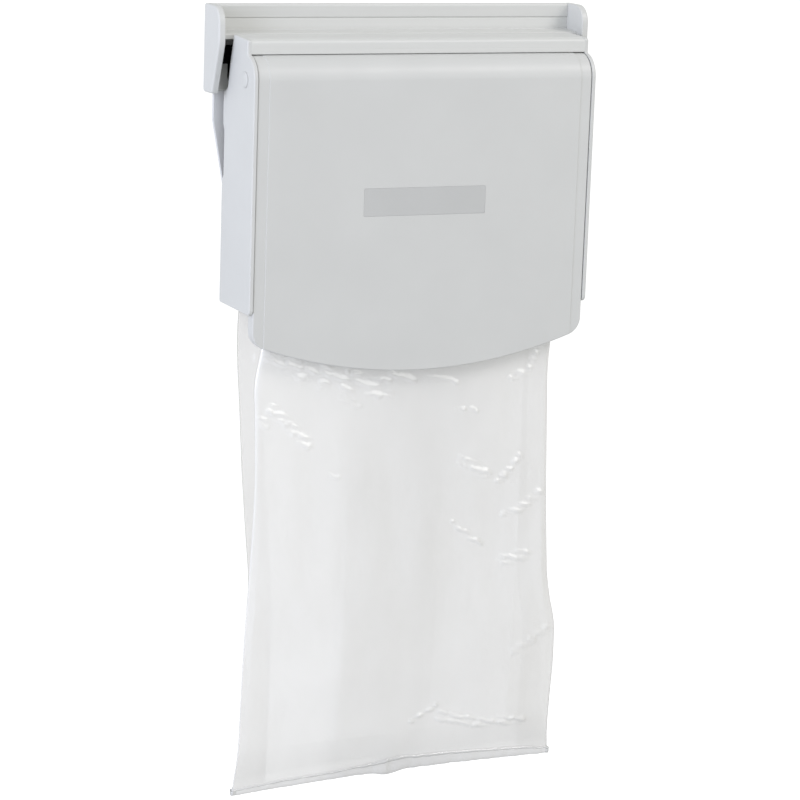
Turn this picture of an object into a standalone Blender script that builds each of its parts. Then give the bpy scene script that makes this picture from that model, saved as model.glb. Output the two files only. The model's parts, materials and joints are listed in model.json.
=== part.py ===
"""Door-hung waste-bag holder: a wall rail with end caps, a swinging box with a lid, and a plastic bag on a wire hoop.

Row frame: X runs along the rail, -Y points out of the door, +Z is up. The origin is the centre of the
rail's back face, which lies on the door. Sizes are in millimetres; a "depth" is a distance out of the door.
"""

import math

import bmesh
import bpy
from mathutils import Matrix, Vector

MM = 0.001
GAP = 0.3  # between pieces that touch

# Driving dimensions
BOX_HALF = 130.0  # to the outer face of a cheek
CHEEK = 2.8
CAP_INNER = 136.9  # to the inner face of an end cap
CAP_THICK = 5.1
RAIL_HALF_HEIGHT = 30.0
RAIL_WALL = 5.6
SHELF_REAR = (RAIL_WALL, 12.0)  # depth and height of the shelf's sloping top, at the wall and at its lip
SHELF_FRONT = (21.2, 10.9)
SHELF_WALL = 2.0
SHELF_LIP_BOTTOM = 7.0
HEADER_REAR = (27.2, 11.0)  # depth and height of the header's sloping top, at its rear and front edges
HEADER_FRONT = (54.2, 9.6)
HEADER_WALL = 2.0
LIP_BOTTOM = -0.1
LID_AXIS = (51.2, -17.5)  # depth and height of the lid's hinge
LID_RADIUS = 17.0
LID_WALL = 2.2
LID_HALF = 126.8
LID_BOTTOM = -222.6
LID_BOTTOM_RADIUS = 355.6
LID_CORNER = 13.0
LID_RETURN = 10.0
CHEEK_BOTTOM = -178.5
CHEEK_REAR = 9.2
SWING_AXIS = (14.2, -4.1)  # depth and height of the rod that the box swings on
ROD_RADIUS = 2.5
BUSH_RADIUS = 6.4
HOLE_RADIUS = 2.8
HOOP_HALF = 117.0
HOOP_DEPTHS = (19.0, 58.0)
HOOP_HEIGHT = -158.0
HOOP_WIRE = 2.0
BAIL_AXIS = (25.0, -150.0)
BAIL_WIRE = 1.5
BAIL_HALF = 108.0
BAG_TOP = -162.4
BAG_WALL = 0.8
BADGE = (46.5, -111.6, -92.1)  # half width, lowest and highest point

# Fasteners and the holes they share with their neighbours
RAIL_SCREW = (95.0, -21.0)  # X and height
PLATE_SCREWS = ((-100, -42), (100, -42), (-85, -166), (85, -166))
ARM_SCREWS = ((29.0, 0.5), (26.5, -19.0))  # depth and height, as for all below
PORT_DEPTH = 2.8  # of the cap's pegs
PORT_HEIGHTS = (24.0, -13.0)
PEG_DEPTHS = (38.5, 47.0)  # of the cheek's pegs
PEG_HEIGHT = 4.9
PORT_RADIUS = 1.8
PEG_RADIUS = 1.4
SCREW_HOLE = 2.2
ARM_HOLE = 1.7
CLIP_DEPTHS = (("rear", 30.0), ("front", 46.5))

CHEEK_INNER = BOX_HALF - CHEEK
LID_FRONT = LID_AXIS[0] + LID_RADIUS
SIDES = (("left", -1), ("right", 1))


def at(x, depth, z):
    return Vector((x, -depth, z)) * MM


def material(name, colour, roughness, metallic=0.0, alpha=1.0):
    made = bpy.data.materials.new(name)
    made.use_nodes = True
    shader = made.node_tree.nodes["Principled BSDF"]
    shader.inputs["Base Color"].default_value = (*colour, 1.0)
    shader.inputs["Roughness"].default_value = roughness
    shader.inputs["Metallic"].default_value = metallic
    shader.inputs["Alpha"].default_value = alpha
    made.diffuse_color = (*colour, alpha)
    return made


def clear_scene():
    for obj in list(bpy.data.objects):
        bpy.data.objects.remove(obj, do_unlink=True)


def rounded(corners, step_deg=18.0):
    """The outline through these corners, each (u, v) or (u, v, radius), with an arc at each radius."""
    outline = []
    for index, corner in enumerate(corners):
        point = Vector(corner[:2])
        if len(corner) < 3:
            outline.append(point)
            continue
        before = (Vector(corners[index - 1][:2]) - point).normalized()
        after = (Vector(corners[(index + 1) % len(corners)][:2]) - point).normalized()
        half = before.angle(after) / 2
        centre = point + (before + after).normalized() * corner[2] / math.sin(half)
        start = point + before * corner[2] / math.tan(half) - centre
        sweep = math.pi - 2 * half
        turn = math.copysign(sweep, start.x * (point - centre).y - start.y * (point - centre).x)
        steps = max(2, round(math.degrees(sweep) / step_deg))
        for step in range(steps + 1):
            outline.append(centre + Matrix.Rotation(turn * step / steps, 2) @ start)
    return outline


def arc(centre, radius, first_deg, last_deg, steps):
    angles = [math.radians(first_deg + (last_deg - first_deg) * i / steps) for i in range(steps + 1)]
    return [(centre[0] + radius * math.cos(a), centre[1] + radius * math.sin(a)) for a in angles]


def new_object(name, mesh_data):
    obj = bpy.data.objects.new(name, mesh_data)
    bpy.context.scene.collection.objects.link(obj)
    return obj


def from_bmesh(name, shape):
    bmesh.ops.recalc_face_normals(shape, faces=shape.faces)
    mesh_data = bpy.data.meshes.new(name)
    shape.to_mesh(mesh_data)
    shape.free()
    return new_object(name, mesh_data)


def prism(name, outline, low, high, spot):
    """A solid with this outline between low and high; spot(u, v, w) places a point of it."""
    shape = bmesh.new()
    ends = [[shape.verts.new(spot(u, v, w)) for u, v in outline] for w in (low, high)]
    for end in ends:
        shape.faces.new(end)
    for i in range(len(outline)):
        j = (i + 1) % len(outline)
        shape.faces.new((ends[0][i], ends[0][j], ends[1][j], ends[1][i]))
    return from_bmesh(name, shape)


def along_x(name, outline, low, high):
    """A prism along X whose outline is in depth and height."""
    return prism(name, outline, low, high, lambda u, v, w: at(w, u, v))


def along_depth(name, outline, low, high):
    """A prism along the depth whose outline is in X and height."""
    return prism(name, outline, low, high, lambda u, v, w: at(u, w, v))


def block(name, xs, depths, heights):
    corners = [(depths[0], heights[0]), (depths[1], heights[0]), (depths[1], heights[1]), (depths[0], heights[1])]
    return along_x(name, corners, *xs)


def turned(name, profile, centre, axis, sides=20):
    """A solid turned about a line through centre; its profile is (distance along axis, radius)."""
    shape = bmesh.new()
    turn = Vector((0, 0, 1)).rotation_difference(Vector(axis)).to_matrix()
    rings = []
    for along, radius in profile:
        angles = [2 * math.pi * i / sides for i in range(sides)]
        spots = [Vector((radius * math.cos(a), radius * math.sin(a), along)) * MM for a in angles]
        rings.append([shape.verts.new(turn @ spot + centre) for spot in spots])
    for first, second in zip(rings, rings[1:]):
        for i in range(sides):
            j = (i + 1) % sides
            shape.faces.new((first[i], first[j], second[j], second[i]))
    shape.faces.new(rings[0])
    shape.faces.new(rings[-1])
    return from_bmesh(name, shape)


def rod_x(name, centre, radius, low, high, sides=20):
    """A cylinder along X between low and high, about this depth and height."""
    return turned(name, [(0, radius), (high - low, radius)], at(low, *centre), (1, 0, 0), sides)


def settle(obj):
    """Replaces an object's mesh by its evaluated one, and drops its modifiers."""
    graph = bpy.context.evaluated_depsgraph_get()
    made = bpy.data.meshes.new_from_object(obj.evaluated_get(graph))
    obj.modifiers.clear()
    obj.data = made


def combine(obj, others, operation):
    for other in others:
        modifier = obj.modifiers.new(operation.lower(), "BOOLEAN")
        modifier.operation = operation
        modifier.object = other
        bpy.context.view_layer.update()
        settle(obj)
        bpy.data.objects.remove(other, do_unlink=True)
    return obj


def cut(obj, *cutters):
    return combine(obj, cutters, "DIFFERENCE")


def join(obj, *others):
    return combine(obj, others, "UNION")


def bevel(obj, width, segments=2, angle_deg=35.0):
    modifier = obj.modifiers.new("round", "BEVEL")
    modifier.width = width * MM
    modifier.segments = segments
    modifier.limit_method = "ANGLE"
    modifier.angle_limit = math.radians(angle_deg)
    modifier.use_clamp_overlap = True
    settle(obj)
    return obj


def wire(name, points, radius, closed):
    """A round wire through these points, in X, depth and height."""
    curve = bpy.data.curves.new(name, "CURVE")
    curve.dimensions = "3D"
    curve.bevel_depth = radius * MM
    curve.bevel_resolution = 2
    curve.use_fill_caps = not closed
    spline = curve.splines.new("POLY")
    spline.points.add(len(points) - 1)
    spline.use_cyclic_u = closed
    for spot, point in zip(spline.points, points):
        spot.co = (*at(*point), 1.0)
    return new_object(name, curve)


def finish(obj, made_of, pivot=None):
    """Gives a piece its material, smooth shading, and the empty that it turns with."""
    obj.data.materials.clear()
    obj.data.materials.append(made_of)
    if obj.type == "MESH":
        obj.data.shade_smooth()
        obj.data.set_sharp_from_angle(angle=math.radians(32))
    if pivot:
        obj.parent = pivot
        obj.matrix_parent_inverse = pivot.matrix_world.inverted()
    return obj


def pivot_empty(name, axis, parent=None):
    empty = new_object(name, None)
    empty.location = at(0, *axis)
    bpy.context.view_layer.update()
    if parent:
        empty.parent = parent
        empty.matrix_parent_inverse = parent.matrix_world.inverted()
    bpy.context.view_layer.update()
    return empty


def screw(name, centre, axis, head_radius, shank_radius, shank_length, made_of, pivot=None):
    """A pan-head screw; centre is where its head meets its shank, and axis points out of the head."""
    head = 2.0
    profile = [
        (-shank_length, shank_radius * 0.6),
        (-shank_length + 1.0, shank_radius),
        (0.0, shank_radius),
        (0.0, head_radius),
        (head * 0.55, head_radius),
        (head, head_radius * 0.6),
    ]
    made = turned(name, profile, centre, axis, 12)
    turn = Vector((0, 0, 1)).rotation_difference(Vector(axis)).to_matrix().to_4x4()
    for angle in (0, math.pi / 2):
        slot = block("slot", (-head_radius * 0.45, head_radius * 0.45), (-0.35, 0.35), (head * 0.5, head * 2))
        slot.data.transform(Matrix.Translation(centre) @ turn @ Matrix.Rotation(angle, 4, "Z"))
        cut(made, slot)
    return finish(made, made_of, pivot)


def wall_rail(made_of):
    """The extruded rail: back wall with a groove line, and a sloping shelf with a turned-down lip."""
    top, bottom = RAIL_HALF_HEIGHT, -RAIL_HALF_HEIGHT
    depth, lip_top = SHELF_FRONT
    outline = rounded([
        (0, bottom), (RAIL_WALL, bottom, 1.0),
        (RAIL_WALL, SHELF_REAR[1] - SHELF_WALL, 0.8), (depth - SHELF_WALL, lip_top - SHELF_WALL),
        (depth - SHELF_WALL, SHELF_LIP_BOTTOM), (depth, SHELF_LIP_BOTTOM), (depth, lip_top, 1.2), (*SHELF_REAR, 2.0),
        (RAIL_WALL, 19.1), (RAIL_WALL - 0.7, 19.7), (RAIL_WALL - 0.7, 20.3), (RAIL_WALL, 20.9),
        (RAIL_WALL, top, 1.5), (0, top),
    ], 30)
    half = CAP_INNER - GAP
    rail = along_x("wall_rail", outline, -half, half)
    screw_x, screw_z = RAIL_SCREW
    holes = [turned("hole", [(-10, SCREW_HOLE), (10, SCREW_HOLE)], at(x, 3, screw_z), (0, 1, 0), 12)
             for x in (-screw_x, screw_x)]
    ports = [rod_x("port", (PORT_DEPTH, z), PORT_RADIUS, side * half - 12, side * half + 12, 10)
             for side in (-1, 1) for z in PORT_HEIGHTS]
    return finish(cut(rail, *holes, *ports), made_of)


def end_cap(name, side, made_of):
    """A cap with a round nose and a tapering tongue, pegs for the rail's ports and a socket for the rod."""
    outline = rounded([
        (0, 30.2, 1.5), (29.7, 30.2, 12.5), (29.7, 4.5, 10.0), (17.2, -31.1, 2.0), (0, -31.1, 4.0),
    ], 15)
    low, high = sorted((side * CAP_INNER, side * (CAP_INNER + CAP_THICK)))
    cap = bevel(along_x(name, outline, low, high), 0.9, 2)
    pegs = [rod_x("peg", (PORT_DEPTH, z), PEG_RADIUS, *sorted((side * (CAP_INNER - 9), side * (CAP_INNER + 1))), 10)
            for z in PORT_HEIGHTS]
    socket = rod_x("socket", SWING_AXIS, HOLE_RADIUS, *sorted((side * (CAP_INNER - 1), side * (CAP_INNER + 2.7))))
    return finish(cut(join(cap, *pegs), socket), made_of)


def back_plate(made_of):
    """The shield-shaped plate that covers the door behind the box, on four stand-off bosses."""
    half = [(135.5, -30.3, 2.0), (135.5, -50.6, 6.0), (118.6, -141.0, 20.0), (112.0, -176.0, 8.0)]
    outline = rounded([(-x, z, r) for x, z, r in half] + half[::-1], 20)
    plate = bevel(along_depth("back_plate", outline, 1.6, 4.2), 0.5, 1)
    bosses = [turned("boss", [(0, 6.0), (2.0, 6.0)], at(x, 2.0, z), (0, 1, 0), 16) for x, z in PLATE_SCREWS]
    holes = [turned("hole", [(-6, SCREW_HOLE), (6, SCREW_HOLE)], at(x, 2.0, z), (0, 1, 0), 12)
             for x, z in PLATE_SCREWS]
    return finish(cut(join(plate, *bosses), *holes), made_of)


def header_profile(made_of, pivot):
    """The extruded header: sloping top plate, front lip with fine lines, and two ports for the cheeks' pegs."""
    front, top = HEADER_FRONT
    rear, rear_top = HEADER_REAR
    under = top - HEADER_WALL
    low = PEG_HEIGHT - 2.7
    channels = [(spot, height) for depth in reversed(PEG_DEPTHS)
                for spot, height in ((depth + 3.0, under), (depth + 3.0, low), (depth - 3.0, low), (depth - 3.0, under))]
    outline = rounded([
        (rear, rear_top - HEADER_WALL), (rear, rear_top, 0.6), (front, top, 2.0),
        (front, 3.3), (front - 0.3, 3.1), (front - 0.3, 2.7), (front, 2.5),
        (front, LIP_BOTTOM, 0.5), (front - HEADER_WALL, LIP_BOTTOM), (front - HEADER_WALL, under, 0.8), *channels,
    ], 30)
    half = CHEEK_INNER - GAP
    header = along_x("header_profile", outline, -half, half)
    ports = [rod_x("port", (depth, PEG_HEIGHT), PORT_RADIUS, side * half - 14, side * half + 14, 10)
             for side in (-1, 1) for depth in PEG_DEPTHS]
    return finish(cut(header, *ports), made_of, pivot)


def cheek(name, side, made_of, pivot):
    """A side plate: round nose about the lid's axis, slanted relief behind the rail, shallow rear notch."""
    front = LID_FRONT + 0.2
    nose = arc(LID_AXIS, front - LID_AXIS[0], 78, 4, 6)
    outline = rounded([
        (*HEADER_REAR, 1.0), (*HEADER_FRONT, 2.0), (HEADER_FRONT[0], LIP_BOTTOM + 0.2),
        *nose, (front, CHEEK_BOTTOM, 4.0), (CHEEK_REAR, CHEEK_BOTTOM, 2.0),
        (CHEEK_REAR, -92.0), (12.0, -88.0, 2.0), (12.0, -57.0, 2.0), (CHEEK_REAR, -52.0),
        (CHEEK_REAR, -29.6, 1.5), (16.9, -27.2, 6.0), (21.2, -7.0, 30.0),
    ], 18)
    outer, inner = side * BOX_HALF, side * CHEEK_INNER
    plate = bevel(along_x(name, outline, *sorted((inner, outer))), 1.2, 2, 60)
    pegs = [rod_x("peg", (depth, PEG_HEIGHT), PEG_RADIUS, *sorted((side * (CHEEK_INNER - 10), side * (CHEEK_INNER + 1))), 10)
            for depth in PEG_DEPTHS]
    stop = block("stop", sorted((side * 124.4, side * (CHEEK_INNER + 1))), (53.5, 57.9), (-150, -141))
    pin_hole = rod_x("hole", LID_AXIS, HOLE_RADIUS, *sorted((side * 120, side * 140)))
    screw_holes = [rod_x("hole", spot, ARM_HOLE, *sorted((side * 120, side * 129.3)), 10) for spot in ARM_SCREWS]
    return finish(cut(join(plate, *pegs, stop), pin_hole, *screw_holes), made_of, pivot)


def hinge_arm(name, side, made_of, pivot):
    """The arm that hangs a cheek on the rod, with a tail down behind the rod."""
    depth, height = SWING_AXIS
    rear = depth - BUSH_RADIUS
    outline = rounded([
        (rear, height), (rear, -21.0, 4.0), (15.0, -26.0, 3.0), (31.5, -25.0, 2.0), (33.0, 4.5, 2.0), (30.5, 4.5, 2.0),
        (17.5, -0.5), (depth, height + 5.0),
    ], 30)
    span = sorted((side * (CHEEK_INNER - GAP), side * (CHEEK_INNER - 2.9)))
    arm = along_x(name, outline, *span)
    eye = rod_x("eye", SWING_AXIS, BUSH_RADIUS, *span, 24)
    rod_hole = rod_x("hole", SWING_AXIS, HOLE_RADIUS, *sorted((side * 115, side * 135)))
    screw_holes = [rod_x("hole", spot, ARM_HOLE, *sorted((side * 115, side * 135)), 10) for spot in ARM_SCREWS]
    return finish(cut(join(arm, eye), rod_hole, *screw_holes), made_of, pivot)


def lid_outline(inset):
    """The lid's front outline in X and height: straight sides, round corners and a bowed bottom edge."""
    half = LID_HALF - inset
    radius = LID_BOTTOM_RADIUS - inset
    centre = LID_BOTTOM + LID_BOTTOM_RADIUS
    bow = [(x, centre - math.sqrt(radius**2 - x**2)) for x in (half * i / 7 for i in range(-6, 7))]
    corner = centre - math.sqrt(radius**2 - half**2)
    return rounded([(half, 8.0), (-half, 8.0), (-half, corner, LID_CORNER - inset),
                    *bow, (half, corner, LID_CORNER - inset)], 15)


def lid(made_of, pivot):
    """The lid's shell: barrel top about its hinge, flat front, side and bottom returns, and two hinge ears."""
    depth, height = LID_AXIS
    back = LID_FRONT - LID_RETURN
    barrel = arc(LID_AXIS, LID_RADIUS, 0, 115, 10)
    profile = rounded([(LID_FRONT, -240.0), *barrel, (45.0, -24.0, 4.0), (back, -28.0, 3.0), (back, -240.0)])
    shell = along_x("lid", profile, -140, 140)
    combine(shell, [along_depth("front", lid_outline(0), 30, 80)], "INTERSECT")
    bevel(shell, 1.6, 3, 50)
    inside = arc(LID_AXIS, LID_RADIUS - LID_WALL, 0, 115, 10)
    hollow = along_x("hollow", [(LID_FRONT - LID_WALL, -240.0), *inside, (38.0, inside[-1][1]), (38.0, -240.0)],
                     -140, 140)
    combine(hollow, [along_depth("front", lid_outline(2.4), 20, 80)], "INTERSECT")
    pocket = along_depth("pocket", rounded(badge_corners(0.35)), LID_FRONT - 0.75, LID_FRONT + 5)
    pin_hole = rod_x("hole", LID_AXIS, HOLE_RADIUS, -140, 140)
    return finish(cut(shell, hollow, pocket, pin_hole), made_of, pivot)


def badge_corners(grow):
    half, low, high = BADGE[0] + grow, BADGE[1] - grow, BADGE[2] + grow
    return [(-half, low, 1.0), (half, low, 1.0), (half, high, 1.0), (-half, high, 1.0)]


def hoop_clip(name, side, depth, made_of, pivot):
    """A block on the cheek with an upward slot that the hoop's side wire snaps into."""
    clip = block(name, sorted((side * 113.4, side * (CHEEK_INNER - GAP))), (depth - 4, depth + 4), (-161.9, -154.0))
    bevel(clip, 0.6, 1)
    wire_x = side * HOOP_HALF
    seat = turned("seat", [(-9, 2.35), (9, 2.35)], at(wire_x, depth, HOOP_HEIGHT), (0, 1, 0), 14)
    mouth = block("mouth", (wire_x - 1.8, wire_x + 1.8), (depth - 9, depth + 9), (HOOP_HEIGHT, -150.0))
    return finish(cut(clip, seat, mouth), made_of, pivot)


def bail_bracket(name, side, made_of, pivot):
    """A block on the cheek with a blind hole for the bail's end."""
    depth, height = BAIL_AXIS
    bracket = block(name, sorted((side * 110.6, side * (CHEEK_INNER - GAP))), (depth - 4, depth + 4),
                    (height - 3.4, height + 4))
    bevel(bracket, 0.6, 1)
    hole = rod_x("hole", BAIL_AXIS, 1.9, *sorted((side * 105, side * 122)), 12)
    return finish(cut(bracket, hole), made_of, pivot)


def bag(made_of, pivot):
    """The bag: an open-topped sack, box-shaped under the hoop and flat at its bottom seam."""
    sections = (  # height, left, right, back depth, front depth, corner radius
        (BAG_TOP, -121.2, 121.2, 14.8, 62.2, 9.0),
        (-184.0, -122.0, 119.0, 14.5, 57.6, 9.0),
        (-216.0, -122.5, 115.5, 15.0, 57.6, 9.0),
        (-300.0, -120.5, 116.0, 20.0, 56.5, 8.0),
        (-375.0, -118.0, 120.0, 25.0, 53.5, 7.0),
        (-425.0, -120.0, 129.5, 28.0, 51.0, 6.0),
        (-500.0, -121.5, 129.5, 32.0, 47.0, 4.0),
        (-533.5, -123.4, 130.5, 35.5, 42.5, 2.0),
    )
    shape = bmesh.new()

    def ring(height, left, right, back, front, radius, inset):
        radius = radius - inset
        outline = rounded([
            (left + inset, back + inset, radius), (right - inset, back + inset, radius),
            (right - inset, front - inset, radius), (left + inset, front - inset, radius),
        ], 30)
        return [shape.verts.new(at(x, depth, height)) for x, depth in outline]

    def skin(rings):
        for first, second in zip(rings, rings[1:]):
            for i in range(len(first)):
                j = (i + 1) % len(first)
                shape.faces.new((first[i], first[j], second[j], second[i]))

    seam = sections[-1]
    floor = (seam[0] + 2.5, *seam[1:])
    outer = [ring(*section, 0.0) for section in sections]
    inner = [ring(*section, BAG_WALL) for section in (*sections[:-1], floor)]
    skin(outer)
    skin(inner)
    skin([outer[0], inner[0]])
    shape.faces.new(outer[-1])
    shape.faces.new(inner[-1])
    return finish(from_bmesh("bag", shape), made_of, pivot)


def build():
    clear_scene()
    grey = material("light_grey_plastic", (0.62, 0.63, 0.61), 0.42)
    extruded = material("extruded_plastic", (0.65, 0.65, 0.63), 0.42)
    rear_grey = material("grey_plastic", (0.64, 0.645, 0.655), 0.5)
    label = material("label_grey", (0.46, 0.47, 0.47), 0.45)
    black_plastic = material("black_plastic", (0.012, 0.012, 0.013), 0.5)
    black = material("black_rubber", (0.01, 0.01, 0.01), 0.7)
    steel = material("zinc_steel", (0.72, 0.72, 0.74), 0.3, 1.0)
    film = material("bag_film", (0.9, 0.91, 0.92), 0.25, 0.0, 0.6)

    box_pivot = pivot_empty("box_pivot", SWING_AXIS)
    lid_pivot = pivot_empty("lid_pivot", LID_AXIS, box_pivot)
    bail_pivot = pivot_empty("bail_pivot", BAIL_AXIS, box_pivot)

    wall_rail(extruded)
    back_plate(rear_grey)
    rod_end = CAP_INNER + 2.3
    finish(rod_x("hinge_rod", SWING_AXIS, ROD_RADIUS, -rod_end, rod_end), steel)
    header_profile(extruded, box_pivot)
    crossbar = rounded([(9.4, -176.0), (11.4, -176.0, 0.6), (11.4, -158.0), (14.4, -158.0), (14.4, -156.0, 0.6),
                        (9.4, -156.0)], 30)
    half = CHEEK_INNER - GAP
    finish(along_x("rear_crossbar", crossbar, -half, half), rear_grey, box_pivot)
    lid(grey, lid_pivot)
    badge = along_depth("lid_badge", rounded(badge_corners(0)), LID_FRONT - 0.4, LID_FRONT - 0.05)
    finish(badge, label, lid_pivot)

    for word, side in SIDES:
        end_cap(f"{word}_end_cap", side, grey)
        cheek(f"{word}_cheek", side, grey, box_pivot)
        hinge_arm(f"{word}_hinge_arm", side, black_plastic, box_pivot)
        bush_span = sorted((side * CHEEK_INNER, side * (CAP_INNER - GAP)))
        bush = rod_x(f"{word}_hinge_bush", SWING_AXIS, BUSH_RADIUS, *bush_span, 24)
        bush_bore = rod_x("bore", SWING_AXIS, HOLE_RADIUS, *sorted((side * 120, side * 150)))
        finish(cut(bush, bush_bore), black)
        pin = [(-8.0, ROD_RADIUS), (0.0, ROD_RADIUS), (0.0, 5.5), (0.5, 5.4), (0.9, 4.6), (1.1, 2.5)]
        pin_at = at(side * (BOX_HALF + GAP), *LID_AXIS)
        finish(turned(f"{word}_lid_pin", pin, pin_at, (side, 0, 0)), grey, box_pivot)
        for word_2, depth in CLIP_DEPTHS:
            hoop_clip(f"{word}_{word_2}_hoop_clip", side, depth, rear_grey, box_pivot)
        bail_bracket(f"{word}_bail_bracket", side, rear_grey, box_pivot)
        bumper = [(0.0, 5.0), (3.6, 5.0), (4.6, 4.0)]
        finish(turned(f"{word}_bumper", bumper, at(side * 105, 4.5, -167), (0, -1, 0), 16), black)
        screw(f"{word}_rail_screw", at(side * RAIL_SCREW[0], RAIL_WALL + GAP, RAIL_SCREW[1]), (0, -1, 0), 3.8, 1.8, 5.4, steel)
        for word_2, spot in zip(("upper", "lower"), ARM_SCREWS):
            head_at = at(side * (CHEEK_INNER - 3.2), *spot)
            screw(f"{word}_{word_2}_arm_screw", head_at, (-side, 0, 0), 2.8, 1.35, 4.8, steel, box_pivot)

    for word, (x, height) in zip(("upper_left", "upper_right", "lower_left", "lower_right"), PLATE_SCREWS):
        screw(f"{word}_plate_screw", at(x, 4.5, height), (0, -1, 0), 3.8, 1.8, 4.1, steel)

    near, far = HOOP_DEPTHS
    hoop = rounded([(-HOOP_HALF, near, 6), (HOOP_HALF, near, 6), (HOOP_HALF, far, 6), (-HOOP_HALF, far, 6)], 22.5)
    finish(wire("bag_hoop", [(x, depth, HOOP_HEIGHT) for x, depth in hoop], HOOP_WIRE, True), steel, box_pivot)

    rest = HOOP_HEIGHT + HOOP_WIRE + BAIL_WIRE + GAP
    depth, height = BAIL_AXIS
    arm = [(121.0, depth, height), (BAIL_HALF + 1.5, depth, height), (BAIL_HALF, depth + 1.5, height - 0.2),
           (BAIL_HALF, far - 6.0, rest + 0.7), (BAIL_HALF - 1.8, far - 1.8, rest), (BAIL_HALF - 6.0, far, rest)]
    bail = [(-x, d, z) for x, d, z in arm] + arm[::-1]
    finish(wire("clamp_bail", bail, BAIL_WIRE, False), steel, bail_pivot)
    bag(film, box_pivot)


build()
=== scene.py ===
"""Looks of the door-hung waste-bag holder: its camera, light and materials, the finely rounded plastic
and the film bag.

Sizes are in millimetres. A "depth" is a distance out of the door, which is the plane Y = 0; X runs along
the rail and +Z is up.
"""

import json
import math

import bmesh
import bpy
import numpy as np
from mathutils import Matrix, Vector, noise


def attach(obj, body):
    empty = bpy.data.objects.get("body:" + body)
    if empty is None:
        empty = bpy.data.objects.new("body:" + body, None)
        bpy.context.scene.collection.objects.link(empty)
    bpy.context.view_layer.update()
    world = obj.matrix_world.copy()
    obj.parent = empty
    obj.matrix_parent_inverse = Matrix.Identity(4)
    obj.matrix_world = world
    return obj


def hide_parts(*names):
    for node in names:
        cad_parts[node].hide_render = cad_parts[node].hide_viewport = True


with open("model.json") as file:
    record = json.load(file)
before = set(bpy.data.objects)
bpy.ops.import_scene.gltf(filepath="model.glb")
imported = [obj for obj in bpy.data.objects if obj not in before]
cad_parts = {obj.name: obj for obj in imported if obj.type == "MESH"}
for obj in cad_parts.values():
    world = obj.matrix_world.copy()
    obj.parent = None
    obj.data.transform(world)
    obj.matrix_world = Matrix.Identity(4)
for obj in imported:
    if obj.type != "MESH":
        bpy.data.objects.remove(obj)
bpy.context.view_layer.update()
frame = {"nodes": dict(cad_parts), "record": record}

MM = 0.001
GAP = 0.3  # between pieces that touch
QUARTER_TURN = [math.radians(15 * i) for i in range(7)]  # the steps of a rounded end

# Camera
VIEW_AIM = (-7.6, 54.2, -246.9)  # x, depth and height
VIEW_DISTANCE = 2104.0
VIEW_AZIMUTH = -24.19
VIEW_ELEVATION = 12.22
VIEW_ROLL = 2.03
VIEW_LENS = 132.8
FACET_RISE = 14.0  # the front light is where a film facet that leans this far up and right mirrors it
FACET_TURN = 4.0

# Rigid pieces, as on the frame
BOX_HALF = 130.0
CHEEK = 2.8
CHEEK_INNER = BOX_HALF - CHEEK
CAP_INNER = 136.9
CAP_THICK = 5.1
RAIL_HALF_HEIGHT = 30.0
RAIL_WALL = 5.6
SHELF_REAR = (RAIL_WALL, 12.0)
SHELF_FRONT = (21.2, 10.9)
SHELF_WALL = 2.0
SHELF_LIP_BOTTOM = 7.0
HEADER_REAR = (27.2, 11.0)
HEADER_FRONT = (54.2, 9.6)
HEADER_WALL = 2.0
LIP_BOTTOM = -0.1
LID_AXIS = (51.2, -17.5)
LID_RADIUS = 17.0
LID_FRONT = LID_AXIS[0] + LID_RADIUS
LID_WALL = 2.2
LID_HALF = 126.8
LID_BOTTOM = -222.6
LID_BOTTOM_RADIUS = 355.6
LID_CORNER = 13.0
LID_RETURN = 10.0
LID_MARGIN = 8.2
LID_STEP = 0.3
PAST_LID_ENDS = 140.0  # where the lid's cutters end, at its sides
PAST_LID_BOTTOM = -240.0  # and under it
BADGE = (46.5, -111.6, -92.1)
CHEEK_BOTTOM = -178.5
CHEEK_REAR = 9.2
SWING_AXIS = (14.2, -4.1)
ROD_RADIUS = 2.5
BUSH_RADIUS = 6.4
HOLE_RADIUS = 2.8
HOOP_HALF = 117.0
HOOP_DEPTHS = (19.0, 58.0)
HOOP_HEIGHT = -158.0
HOOP_WIRE = 2.0
BAIL_AXIS = (25.0, -150.0)
BAIL_WIRE = 1.5
BAIL_HALF = 108.0
SCREW_HOLE = 2.2
RAIL_SCREW = (95.0, -21.0)
PLATE_SCREWS = {"upper_left": (-100, -42), "upper_right": (100, -42), "lower_left": (-85, -166),
                "lower_right": (85, -166)}
ARM_SCREWS = {"upper": (29.0, 0.5), "lower": (26.5, -19.0)}
CLIP_DEPTHS = {"rear": 30.0, "front": 46.5}
PEG_DEPTHS = (38.5, 47.0)
PEG_HEIGHT = 4.9
SIDES = (("left", -1), ("right", 1))

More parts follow.
